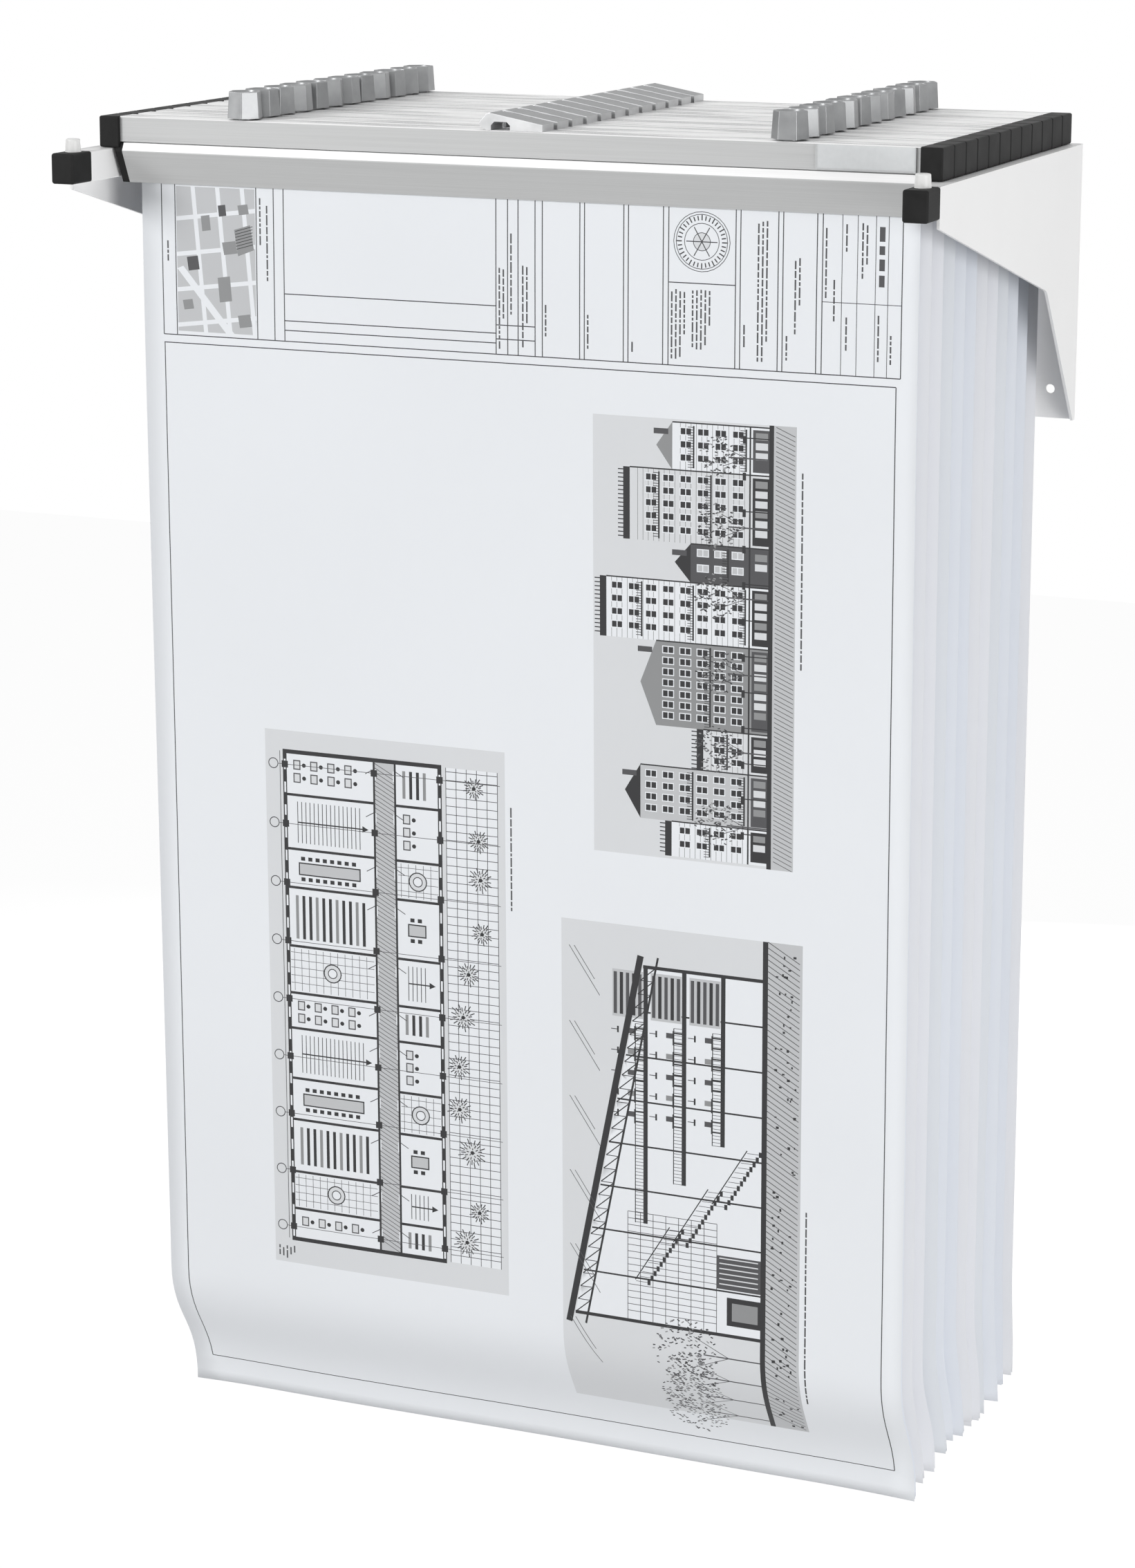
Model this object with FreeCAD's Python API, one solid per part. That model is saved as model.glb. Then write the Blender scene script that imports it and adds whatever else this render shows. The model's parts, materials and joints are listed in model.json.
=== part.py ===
import FreeCAD, Part
import math
import os

Vector = FreeCAD.Vector

# Wall-mounted rack for hanging drawings. Two brackets carry two rails, and twelve clamps lie across them.
# Millimetres. The origin is the centre of the four wall holes on the wall plane: X to the right, Y into
# the wall, Z up. In a clamp, y runs back from the front of its place and z up from the top of the rails.

# --- Clamps ---
clamp_count = 12
clamp_pitch = 27.2            # from one clamp to the next along the rails
clamp_gap = 0.4               # air between neighbouring clamps
clamp_past_sheet = 23.0       # from the sheets' edge to the end of the clamp
clamp_height = 23.0           # top of the spine above the rails
end_cap_length = 15.5
end_cap_lift = 0.3            # running clearance above the rail
end_cap_round = 1.5
piece_clearance = 0.3         # between pieces that move, or are pushed together, end to end
match = 0.01                  # for finding edges by their place

# --- Clamp spine and its rear jaw ---
spine_inset = 3.0             # spine faces behind the faces of the end caps
spine_wall = 2.0
spine_top_wall = 2.5
spine_top_chamfer = 0.8
spine_front_foot = 4.6        # lower edge of the front wall above the rails
spine_back_foot = 4.0         # where the rear wall starts to lean out
rib_pitch = 1.6               # fine ribs along the top
rib_depth = 0.35
rib_margin = 1.2              # plain strip beside the ribs
jaw_drop = 25.5               # lips below the rails
jaw_wall = 1.8
nose_inset = 0.2              # widest part of the jaws inside the clamp's place
nose_height = 0.8
nose_drop = 1.6               # upper edge of the nose below the rails
pinch_gap = 1.8               # between the lips
lip_thickness = 1.3

# --- Front jaw ---
jaw_upright_gap = 1.0         # from the front wall to the jaw's upright
jaw_upright_top = 14.5
jaw_shoulder_gap = 0.7        # below the front wall
jaw_shoulder_set_back = 0.2   # behind the front wall's face
jaw_shoulder_fall = 0.9
jaw_pivot_height = 8.0
jaw_bead_gap = 0.1            # running fit of the bead on the front wall

# --- End of the jaws under the end cap ---
tongue_reach = 2.5            # past the end cap's inner face, both ways
tongue_set_back = 0.2         # behind the front lip's face
plug_length = 14.5            # of the end cap, inside the spine
plug_lift = 1.2               # above the jaw's upright
plug_gap = 0.1                # inside the spine's walls

# --- Clamping knobs, studs and bar ---
knob_inset = 112.5            # from the end of the clamp
knob_sides = 6
knob_foot_width = 26.6        # across the corners
knob_top_width = 24.0
knob_height = 19.3
knob_edge_round = 0.8
knob_rim_round = 0.8
knob_dish_radius = 9.6
knob_dish_floor_radius = 8.4
knob_dish_depth = 3.6
knob_neck_radius = 7.0
knob_neck_height = 1.05
knob_neck_gap = 0.15          # above the spine
knob_angle_step = 37.0        # each knob was left at another angle
knob_side_angle = 23.0
knob_first_angle = 46.0
stud_radius = 3.0
stud_gap = 0.08               # radial, in the spine and the bar
stud_foot = 5.0               # lower end above the rails
stud_grip = 10.0              # length held in the knob
stud_collar_radius = 4.5
stud_collar_height = 1.6
bar_end_gap = 2.0             # from the end cap's plug
bar_height = 5.5
bar_foot = 10.0
bar_front_gap = 0.6           # from the jaw's upright to the bar's lower front edge
bar_front_lean = 1.2          # the bar's front is a wedge
bar_back_gap = 0.4

# --- Handle on the spine ---
handle_offset = 5.0           # its middle right of the clamp's middle
handle_length = 48.0
handle_peak = 12.2            # above the spine
handle_low_end = 5.0
handle_nose = 7.0             # from the peak to the left end
handle_nose_low = 3.0
handle_nose_high = 5.5
handle_brow_run = 4.0         # left of the peak
handle_brow_height = 9.0
handle_crown_run = 2.0        # left of the peak
handle_crown_height = 11.5
handle_crown_land = 1.0       # right of the peak
handle_foot_width = 3.5
handle_foot_inset = 5.5       # foot behind the left end
handle_arch_width = 14.5
handle_arch_height = 6.0
handle_arch_corner = 2.5
handle_depth_inset = 0.2      # handle faces behind the spine's faces
handle_edge_round = 0.5

# --- Label holder on the front clamp ---
label_length = 71.0
label_end_gap = 3.2           # from the spine's end
label_foot = 5.2
label_height = 17.0
label_wall = 0.5
label_slot = 0.6
label_end_wall = 1.2

# --- Hanging sheets ---
sheet_width = 594.0           # ISO A1 width
sheet_shift = 4.5             # its middle right of the clamp's middle
sheet_length = 980.0
sheet_bundle = 1.2            # thickness of a clamped bundle
sheet_top_drop = 8.0          # upper edge below the rails
sheet_held = 26.0             # plumb from the upper edge down to here
sheet_lean_run = 200.0        # length over which the lean sets in
sheet_lean_front = 1.2        # degrees towards the wall, at the front clamp
sheet_lean_rear = 0.2
sheet_curl_run = 120.0        # length of the wave at the lower end
sheet_curl_front = 32.0       # steepest degrees of the wave, at the front clamp
sheet_curl_rear = 6.0
sheet_lean_steps = 2
sheet_curl_steps = 6

# --- Rails ---
rail_width = 16.0
rail_height = 22.0
rail_wall = 1.5
rail_round = 1.0
rail_overlap = 10.0           # how far the end caps lie on the rail
rail_run_out = 30.0           # rail in front of the first clamp
rail_cap_length = 27.0
rail_cap_round = 2.0
spigot_length = 20.0
spigot_gap = 0.1              # inside the rail's walls
peg_radius = 5.8
peg_top_radius = 5.2
peg_height = 9.5
peg_round = 1.2
peg_stem_radius = 2.5
peg_stem_gap = 0.1
peg_stem_length = 6.0
peg_setback = 17.0            # behind the front of the rail cap

# --- Brackets ---
plate_thickness = 2.0
flange_width = 40.0
bend_radius = 2.0             # inside the bend
bracket_height = 207.0
plate_front_height = 28.0
gusset_corner_run = 92.0      # from the wall to the gusset's corner
gusset_corner_drop = 100.0
gusset_corner_round = 12.0
bracket_foot_depth = 9.0
wall_clearance = 4.0          # from the flange to the last clamp
hole_radius = 3.5
hole_inset = 20.0             # from the plate's outer face
hole_drop = 32.6              # upper hole below the rail top
hole_spacing = 152.4          # upper hole to lower hole

# --- Worked out ---
clamp_end = sheet_width / 2 + clamp_past_sheet
clamp_depth = clamp_pitch - clamp_gap
clamp_middle = clamp_depth / 2
rail_top = hole_drop + hole_spacing / 2
row_front = -(plate_thickness + wall_clearance + clamp_count * clamp_pitch)
rail_front = row_front - rail_run_out
rail_inner = clamp_end - rail_overlap
rail_outer = rail_inner + rail_width
plate_outer = rail_outer + plate_thickness
end_cap_inner = clamp_end - end_cap_length
spine_end = end_cap_inner - piece_clearance
spine_front = spine_inset
spine_back = clamp_depth - spine_inset
nose_back = clamp_depth - nose_inset
nose_foot = -(nose_drop + nose_height)
lip_edge = clamp_middle + pinch_gap / 2
lip_outside = lip_edge + lip_thickness
jaw_slope = (nose_back - lip_outside) / (nose_foot + jaw_drop)
jaw_wall_across = jaw_wall * math.hypot(1, jaw_slope)
upright_front = spine_front + spine_wall + jaw_upright_gap
upright_back = upright_front + jaw_wall
jaw_shoulder_top = spine_front_foot - jaw_shoulder_gap
tongue_inner = spine_end - tongue_reach
tongue_outer = end_cap_inner + tongue_reach
jaw_end = tongue_inner - piece_clearance
plug_inner = end_cap_inner - plug_length
bar_end = plug_inner - bar_end_gap
knob_x = clamp_end - knob_inset
peg_x = (rail_inner + plate_outer) / 2
peg_y = rail_front - rail_cap_length + peg_setback


def box(x0, x1, y0, y1, z0, z1):
    return Part.makeBox(x1 - x0, y1 - y0, z1 - z0, Vector(x0, y0, z0))


def slab_x(outline, x0, x1):
    """Solid from x0 to x1 whose section is a closed outline of (y, z) points."""
    corners = [Vector(x0, y, z) for y, z in outline]
    face = Part.Face(Part.makePolygon(corners + corners[:1]))
    return face.extrude(Vector(x1 - x0, 0, 0))


def slab_y(outline, y0, y1):
    """Solid from y0 to y1 whose section is a closed outline of (x, z) points."""
    corners = [Vector(x, y0, z) for x, z in outline]
    face = Part.Face(Part.makePolygon(corners + corners[:1]))
    return face.extrude(Vector(0, y1 - y0, 0))


def pillar(radius, x, y, z0, z1):
    return Part.makeCylinder(radius, z1 - z0, Vector(x, y, z0))


def mirrored(shape):
    return shape.mirror(Vector(0, 0, 0), Vector(1, 0, 0))


def edges_along(shape, direction):
    """Straight edges that run along a unit direction."""
    found = []
    for edge in shape.Edges:
        if isinstance(edge.Curve, Part.Line):
            way = edge.lastVertex().Point.sub(edge.firstVertex().Point)
            if abs(way.dot(direction)) > 0.999 * way.Length:
                found.append(edge)
    return found


def jaw_height(y):
    """Height at which the inner face of the rear jaw's slope reaches y."""
    return (y + jaw_wall_across - lip_outside) / jaw_slope - jaw_drop


def across(y):
    """The same place on the other side of the pinch line."""
    return clamp_depth - y


# --- Rack ---

def bracket_right():
    bend_outside = bend_radius + plate_thickness
    flange_edge = plate_outer - flange_width
    knee = math.sqrt(0.5)
    outer_bend = Part.Arc(
        Vector(plate_outer, -bend_outside, 0),
        Vector(plate_outer - bend_outside * (1 - knee), -bend_outside * (1 - knee), 0),
        Vector(plate_outer - bend_outside, 0, 0),
    )
    inner_bend = Part.Arc(
        Vector(plate_outer - bend_outside, -plate_thickness, 0),
        Vector(rail_outer - bend_radius * (1 - knee), -plate_thickness - bend_radius * (1 - knee), 0),
        Vector(rail_outer, -bend_outside, 0),
    )
    lines = [
        (Vector(rail_outer, rail_front, 0), Vector(plate_outer, rail_front, 0)),
        (Vector(plate_outer, rail_front, 0), Vector(plate_outer, -bend_outside, 0)),
        (Vector(plate_outer - bend_outside, 0, 0), Vector(flange_edge, 0, 0)),
        (Vector(flange_edge, 0, 0), Vector(flange_edge, -plate_thickness, 0)),
        (Vector(flange_edge, -plate_thickness, 0), Vector(plate_outer - bend_outside, -plate_thickness, 0)),
        (Vector(rail_outer, -bend_outside, 0), Vector(rail_outer, rail_front, 0)),
    ]
    edges = [Part.LineSegment(a, b).toShape() for a, b in lines]
    edges += [outer_bend.toShape(), inner_bend.toShape()]
    section = Part.Wire(Part.__sortEdges__(edges))
    sheet = Part.Face(section).extrude(Vector(0, 0, -bracket_height))
    outline = [
        (rail_front, 0),
        (0, 0),
        (0, -bracket_height),
        (-bracket_foot_depth, -bracket_height),
        (-gusset_corner_run, -gusset_corner_drop),
        (rail_front, -plate_front_height),
    ]
    side = slab_x(outline, flange_edge, plate_outer)
    corner = Part.Vertex(flange_edge, -gusset_corner_run, -gusset_corner_drop)
    corner_edges = [e for e in edges_along(side, Vector(1, 0, 0)) if e.distToShape(corner)[0] < match]
    side = side.makeFillet(gusset_corner_round, corner_edges)
    bracket = sheet.common(side)
    for drop in (hole_drop, hole_drop + hole_spacing):
        front = Vector(plate_outer - hole_inset, -plate_thickness, -drop)
        hole = Part.makeCylinder(hole_radius, plate_thickness, front, Vector(0, 1, 0))
        bracket = bracket.cut(hole)
    return bracket


def rail_tube_right():
    outside = box(rail_inner, rail_outer, rail_front, -plate_thickness, -rail_height, 0)
    outside = outside.makeFillet(rail_round, edges_along(outside, Vector(0, 1, 0)))
    bore = box(
        rail_inner + rail_wall,
        rail_outer - rail_wall,
        rail_front,
        -plate_thickness,
        rail_wall - rail_height,
        -rail_wall,
    )
    # the bend of the bracket leaves no room for a square rear corner
    relief = box(rail_outer - bend_radius, rail_outer, -plate_thickness - bend_radius, 0, -rail_height, 0)
    return outside.cut(bore).cut(relief)


def rail_cap_right():
    cap_front = rail_front - rail_cap_length
    block = box(rail_inner, plate_outer, cap_front, rail_front, -rail_height, 0)
    front_edges = [e for e in block.Edges if e.BoundBox.YMin < rail_front - match]
    block = block.makeFillet(rail_cap_round, front_edges)
    inset = rail_wall + spigot_gap
    spigot = box(
        rail_inner + inset,
        rail_outer - inset,
        rail_front,
        rail_front + spigot_length,
        inset - rail_height,
        -inset,
    )
    stem_hole = pillar(peg_stem_radius + peg_stem_gap, peg_x, peg_y, -peg_stem_length, 0)
    return block.fuse(spigot).cut(stem_hole)


def stop_peg_right():
    body = Part.makeCone(peg_radius, peg_top_radius, peg_height, Vector(peg_x, peg_y, 0))
    rim = [e for e in body.Edges if e.BoundBox.ZMin > peg_height - match]
    body = body.makeFillet(peg_round, rim)
    return body.fuse(pillar(peg_stem_radius, peg_x, peg_y, -peg_stem_length, 0))


# --- Clamp ---

def ribbed_top():
    """Points of the spine's top from the front to the back, with its fine grooves."""
    first = spine_front + spine_top_chamfer + rib_margin
    last = spine_back - spine_top_chamfer - rib_margin
    rib_count = int((last - first) / rib_pitch + match)
    start = (first + last - rib_count * rib_pitch) / 2
    points = []
    for index in range(rib_count):
        groove = start + index * rib_pitch
        points.append((groove + rib_pitch / 4, clamp_height))
        points.append((groove + rib_pitch / 2, clamp_height - rib_depth))
        points.append((groove + rib_pitch * 3 / 4, clamp_height))
    return points


def spine():
    outline = [
        (spine_front, spine_front_foot),
        (spine_front, clamp_height - spine_top_chamfer),
        (spine_front + spine_top_chamfer, clamp_height),
    ]
    outline += ribbed_top()
    outline += [
        (spine_back - spine_top_chamfer, clamp_height),
        (spine_back, clamp_height - spine_top_chamfer),
        (spine_back, spine_back_foot),
        (nose_back, -nose_drop),
        (nose_back, nose_foot),
        (lip_outside, -jaw_drop),
        (lip_edge, -jaw_drop),
        (lip_edge, jaw_height(lip_edge)),
        (spine_back - spine_wall, jaw_height(spine_back - spine_wall)),
        (spine_back - spine_wall, clamp_height - spine_top_wall),
        (spine_front + spine_wall, clamp_height - spine_top_wall),
        (spine_front + spine_wall, spine_front_foot),
    ]
    solid = slab_x(outline, -spine_end, spine_end)
    for x in (-knob_x, knob_x):
        solid = solid.cut(pillar(stud_radius + stud_gap, x, clamp_middle, 0, clamp_height))
    return solid


def front_jaw():
    upright_middle = (upright_front + upright_back) / 2
    outline = [
        (spine_front + jaw_shoulder_set_back, jaw_shoulder_top),
        (across(nose_back), -nose_drop),
        (across(nose_back), nose_foot),
        (across(lip_outside), -jaw_drop),
        (across(lip_edge), -jaw_drop),
        (across(lip_edge), jaw_height(lip_edge)),
        (upright_back, jaw_height(across(upright_back))),
        (upright_back, jaw_upright_top),
        (upright_front, jaw_upright_top),
        (upright_front, jaw_shoulder_top - jaw_shoulder_fall),
    ]
    solid = slab_x(outline, -jaw_end, jaw_end)
    bead_radius = upright_middle - (spine_front + spine_wall + jaw_bead_gap)
    bead_start = Vector(-jaw_end, upright_middle, jaw_pivot_height)
    bead = Part.makeCylinder(bead_radius, 2 * jaw_end, bead_start, Vector(1, 0, 0))
    beyond = box(-jaw_end, jaw_end, upright_back, upright_back + bead_radius, 0, clamp_height)
    return solid.fuse(bead.cut(beyond)).removeSplitter()


def end_cap_right():
    block = box(end_cap_inner, clamp_end, 0, clamp_depth, end_cap_lift, clamp_height)
    outer_edges = [e for e in block.Edges if e.BoundBox.XMax > clamp_end - match]
    top_edges = [e for e in edges_along(block, Vector(1, 0, 0)) if e.BoundBox.ZMin > clamp_height - match]
    block = block.makeFillet(end_cap_round, outer_edges + top_edges)
    split = across(lip_edge) - tongue_set_back
    front_tongue = [
        (spine_front + jaw_shoulder_set_back, jaw_shoulder_top),
        (across(nose_back), -nose_drop),
        (across(nose_back), nose_foot),
        (across(lip_outside), -jaw_drop),
        (split, -jaw_drop),
        (split, jaw_shoulder_top),
    ]
    rear_tongue = [
        (split, jaw_shoulder_top),
        (split, -jaw_drop),
        (lip_outside, -jaw_drop),
        (nose_back, nose_foot),
        (nose_back, -nose_drop),
        (spine_back, jaw_shoulder_top),
    ]
    plug = box(
        plug_inner,
        end_cap_inner,
        spine_front + spine_wall + plug_gap,
        spine_back - spine_wall - plug_gap,
        jaw_upright_top + plug_lift,
        clamp_height - spine_top_wall - plug_gap,
    )
    cap = block.fuse(slab_x(front_tongue, tongue_inner, tongue_outer))
    cap = cap.fuse(slab_x(rear_tongue, end_cap_inner, tongue_outer))
    return cap.fuse(plug).removeSplitter()


def knob_with_stud(x, angle):
    """Six-sided knob with a dished top, and the collared stud that is moulded into it."""
    foot = clamp_height + knob_neck_gap + knob_neck_height
    top = foot + knob_height
    rings = []
    for width, z in ((knob_foot_width, foot), (knob_top_width, top)):
        centre = Vector(x, clamp_middle, z)
        turns = [math.radians(angle + 360 / knob_sides * index) for index in range(knob_sides + 1)]
        corners = [centre + Vector(math.cos(turn), math.sin(turn), 0) * (width / 2) for turn in turns]
        rings.append(Part.makePolygon(corners))
    body = Part.makeLoft(rings, True, True)
    rising = [e for e in body.Edges if e.BoundBox.ZLength > knob_height / 2]
    body = body.makeFillet(knob_edge_round, rising)
    rim = [e for e in body.Edges if e.BoundBox.ZMin > top - match]
    body = body.makeFillet(knob_rim_round, rim)
    dish_floor = Vector(x, clamp_middle, top - knob_dish_depth)
    dish = Part.makeCone(knob_dish_floor_radius, knob_dish_radius, knob_dish_depth, dish_floor)
    body = body.cut(dish)
    neck = pillar(knob_neck_radius, x, clamp_middle, foot - knob_neck_height, foot)
    body = body.fuse(neck).removeSplitter()
    body = body.cut(pillar(stud_radius, x, clamp_middle, foot - knob_neck_height, foot + stud_grip))
    collar_top = clamp_height - spine_top_wall - piece_clearance
    stud = pillar(stud_radius, x, clamp_middle, stud_foot, foot + stud_grip)
    stud = stud.fuse(pillar(stud_collar_radius, x, clamp_middle, collar_top - stud_collar_height, collar_top))
    return [body, stud.removeSplitter()]


def clamping_bar():
    front = upright_back + bar_front_gap
    back = spine_back - spine_wall - bar_back_gap
    outline = [
        (front, bar_foot),
        (front + bar_front_lean, bar_foot + bar_height),
        (back, bar_foot + bar_height),
        (back, bar_foot),
    ]
    solid = slab_x(outline, -bar_end, bar_end)
    for x in (-knob_x, knob_x):
        solid = solid.cut(pillar(stud_radius + stud_gap, x, clamp_middle, bar_foot, bar_foot + bar_height))
    return solid


def handle():
    left = handle_offset - handle_length / 2
    peak = left + handle_nose
    right = left + handle_length
    foot = left + handle_foot_inset
    arch_left = foot + handle_foot_width
    arch_right = arch_left + handle_arch_width
    outline = [
        (foot, 0),
        (left, handle_nose_low),
        (left, handle_nose_high),
        (peak - handle_brow_run, handle_brow_height),
        (peak - handle_crown_run, handle_crown_height),
        (peak + handle_crown_land, handle_peak),
        (right, handle_low_end),
        (right, 0),
        (arch_right, 0),
        (arch_right, handle_arch_height - handle_arch_corner),
        (arch_right - handle_arch_corner, handle_arch_height),
        (arch_left + handle_arch_corner, handle_arch_height),
        (arch_left, handle_arch_height - handle_arch_corner),
        (arch_left, 0),
    ]
    outline = [(x, z + clamp_height) for x, z in outline]
    grip = slab_y(outline, spine_front + handle_depth_inset, spine_back - handle_depth_inset)
    upper = []
    for edge in grip.Edges:
        bounds = edge.BoundBox
        in_a_side = bounds.YLength < match
        above_the_end = bounds.ZMin > clamp_height + handle_low_end - match
        above_the_arch = bounds.ZMax > clamp_height + handle_arch_height + match
        if in_a_side and above_the_end and above_the_arch:
            upper.append(edge)
    return grip.makeFillet(handle_edge_round, upper)


def label_holder():
    right = spine_end - label_end_gap
    left = right - label_length
    top = label_foot + label_height
    depth = 2 * label_wall + label_slot
    holder = box(left, right, spine_front - depth, spine_front, label_foot, top)
    slot = box(
        left + label_end_wall,
        right - label_end_wall,
        spine_front - label_wall - label_slot,
        spine_front - label_wall,
        label_foot + label_end_wall,
        top,
    )
    return holder.cut(slot)


def hanging_angle(t, share):
    """Degrees from plumb, t below a bundle's upper edge. share is 0 at the front clamp and 1 at the last."""
    lean = sheet_lean_front + (sheet_lean_rear - sheet_lean_front) * share
    curl = sheet_curl_front + (sheet_curl_rear - sheet_curl_front) * share
    into_lean = min(max(t - sheet_held, 0) / sheet_lean_run, 1)
    into_curl = max(t - (sheet_length - sheet_curl_run), 0) / sheet_curl_run
    return lean * into_lean + curl * math.sin(math.pi * into_curl)


def sheets(share):
    """A bundle that hangs plumb out of the jaws, leans a little and waves back near its lower edge."""
    stops = [0]
    stops += [sheet_held + sheet_lean_run * step / sheet_lean_steps for step in range(sheet_lean_steps + 1)]
    curl_start = sheet_length - sheet_curl_run
    stops += [curl_start + sheet_curl_run * step / sheet_curl_steps for step in range(sheet_curl_steps + 1)]
    y, z = clamp_middle, -sheet_top_drop
    front = [(y - sheet_bundle / 2, z)]
    back = [(y + sheet_bundle / 2, z)]
    for upper, lower in zip(stops, stops[1:]):
        turn = math.radians(hanging_angle((upper + lower) / 2, share))
        y += (lower - upper) * math.sin(turn)
        z -= (lower - upper) * math.cos(turn)
        turn = math.radians(hanging_angle(lower, share))
        across_y = sheet_bundle / 2 * math.cos(turn)
        across_z = sheet_bundle / 2 * math.sin(turn)
        front.append((y - across_y, z - across_z))
        back.append((y + across_y, z + across_z))
    left = sheet_shift - sheet_width / 2
    return slab_x(front + back[::-1], left, left + sheet_width)


def placed(solids, y):
    """A node's solids moved from the rail top to the part's own frame."""
    group = Part.makeCompound(solids) if len(solids) > 1 else solids[0].copy()
    group.translate(Vector(0, y, rail_top))
    return group


nodes = {}


def add(name, solids, y=0):
    nodes[name] = placed(solids, y)


bracket = bracket_right()
tube = rail_tube_right()
rail_cap = rail_cap_right()
peg = stop_peg_right()
add("bracket_right", [bracket])
add("bracket_left", [mirrored(bracket)])
add("rail_tube_right", [tube])
add("rail_tube_left", [mirrored(tube)])
add("rail_end_caps", [mirrored(rail_cap), rail_cap])
add("stop_pegs", [mirrored(peg), peg])

spine_solid = spine()
jaw_solid = front_jaw()
bar_solid = clamping_bar()
handle_solid = handle()
end_cap = end_cap_right()
end_cap_pair = [mirrored(end_cap), end_cap]

for number in range(1, clamp_count + 1):
    y = row_front + (number - 1) * clamp_pitch
    name = "clamp_%02d" % number
    angle = knob_first_angle + (number - 1) * knob_angle_step
    left_knob = knob_with_stud(-knob_x, angle)
    right_knob = knob_with_stud(knob_x, angle + knob_side_angle)
    add(name + "_end_caps", end_cap_pair, y)
    add(name + "_sheets", [sheets((number - 1) / (clamp_count - 1))], y)
    if number == 1:
        add(name + "_spine", [spine_solid], y)
        add(name + "_front_jaw", [jaw_solid], y)
        add(name + "_clamping_bar", [bar_solid], y)
        add(name + "_handle", [handle_solid], y)
        add(name + "_knob_left", left_knob, y)
        add(name + "_knob_right", right_knob, y)
        add(name + "_label_holder", [label_holder()], y)
    else:
        add(name + "_extrusion", [spine_solid, jaw_solid, bar_solid], y)
        add(name + "_grips", left_knob + right_knob + [handle_solid], y)

os.makedirs("parts", exist_ok=True)
for name, shape in nodes.items():
    shape.exportStep("parts/" + name + ".step")
    bounds = shape.BoundBox
    print("%-24s %2d solids %s x %.1f..%.1f y %.1f..%.1f z %.1f..%.1f" % (
        name, len(shape.Solids), "valid" if shape.isValid() else "NOT VALID",
        bounds.XMin, bounds.XMax, bounds.YMin, bounds.YMax, bounds.ZMin, bounds.ZMax,
    ))
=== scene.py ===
import json
import math
import random

import bpy
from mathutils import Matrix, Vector
from mathutils.geometry import delaunay_2d_cdt


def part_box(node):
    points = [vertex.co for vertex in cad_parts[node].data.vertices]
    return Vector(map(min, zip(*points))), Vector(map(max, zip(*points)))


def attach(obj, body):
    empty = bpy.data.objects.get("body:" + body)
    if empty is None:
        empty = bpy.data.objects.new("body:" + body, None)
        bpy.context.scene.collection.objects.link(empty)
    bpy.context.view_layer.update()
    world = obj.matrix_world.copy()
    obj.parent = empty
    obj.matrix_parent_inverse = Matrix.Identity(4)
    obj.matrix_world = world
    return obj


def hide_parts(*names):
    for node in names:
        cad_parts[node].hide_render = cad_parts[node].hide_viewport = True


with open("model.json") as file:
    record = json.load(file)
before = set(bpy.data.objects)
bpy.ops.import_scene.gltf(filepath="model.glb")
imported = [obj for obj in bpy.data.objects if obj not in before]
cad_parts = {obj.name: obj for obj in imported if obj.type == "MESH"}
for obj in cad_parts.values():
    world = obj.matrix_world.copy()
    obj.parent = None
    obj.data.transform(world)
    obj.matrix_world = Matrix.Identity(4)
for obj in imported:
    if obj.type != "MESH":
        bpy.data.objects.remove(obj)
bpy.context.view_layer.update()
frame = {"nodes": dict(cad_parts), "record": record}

MM = 0.001

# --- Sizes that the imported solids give, in millimetres ---
CLAMPS = sorted({name[:len("clamp_NN")] for name in frame["nodes"] if name.startswith("clamp_")})
SHEET_LOW, SHEET_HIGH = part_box("clamp_01_sheets")
CLAMP_PITCH = (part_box("clamp_02_sheets")[0].y - SHEET_LOW.y) / MM
SHEET_WIDTH = (SHEET_HIGH.x - SHEET_LOW.x) / MM
SHEET_LEFT = SHEET_LOW.x / MM
SHEET_TOP = SHEET_HIGH.z / MM
SLAB = 1.2                   # thickness of the solid that stands for a bundle
JAW_MIDDLE = SHEET_LOW.y / MM + SLAB / 2

# --- How the bundles hang, as in the solids: millimetres and degrees ---
SHEET_LENGTH = 980.0
HELD_LENGTH = 26.0           # in the jaws
LEAN_RUN = 200.0             # over which a sheet takes up its lean below the jaws
FRONT_LEAN = 1.2
REAR_LEAN = 0.2
CURL_RUN = 120.0             # above the lower edge, where a sheet curls forwards and back
FRONT_CURL = 32.0
REAR_CURL = 6.0

# --- Loose sheets in a bundle, in millimetres ---
SHEETS_IN_BUNDLE = 3
PAPER_THICKNESS = 0.26
SHEET_STEP = 0.38            # between sheets in the jaws
FAN = 1.8                    # between sheets at the lower edge
JAW_MARGIN = 20.0            # below the jaws, where a sheet starts to wave
FOOT_RUN = 130.0             # above the lower edge, where the corners turn
RIGHT_CORNER = 0.86          # from this share of the width to the right edge
LEFT_CORNER = 0.1            # from the left edge to this share of the width
MOST_TRIM = 10.0             # by which a whole bundle may be shorter than the front sheet

# --- How finely the sheets are divided ---
SHEET_COLUMNS = 28
PLAIN_ROWS = 24
PRINTED_ROWS = 30
CURL_ROWS = 14

# --- Starting numbers of everything random ---
HANG_SEED = 50
TRIM_SEED = 100
DRAWING_SEED = 7


# ---------------------------------------------------------------- materials

def new_material(name, colour, roughness, metallic=0.0):
    """A plain finish, with its node tree and its shader."""
    material = bpy.data.materials.new(name)
    material.use_nodes = True
    shader = material.node_tree.nodes["Principled BSDF"]
    shader.inputs["Base Color"].default_value = (*colour, 1.0)
    shader.inputs["Roughness"].default_value = roughness
    shader.inputs["Metallic"].default_value = metallic
    return material, material.node_tree, shader


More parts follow.
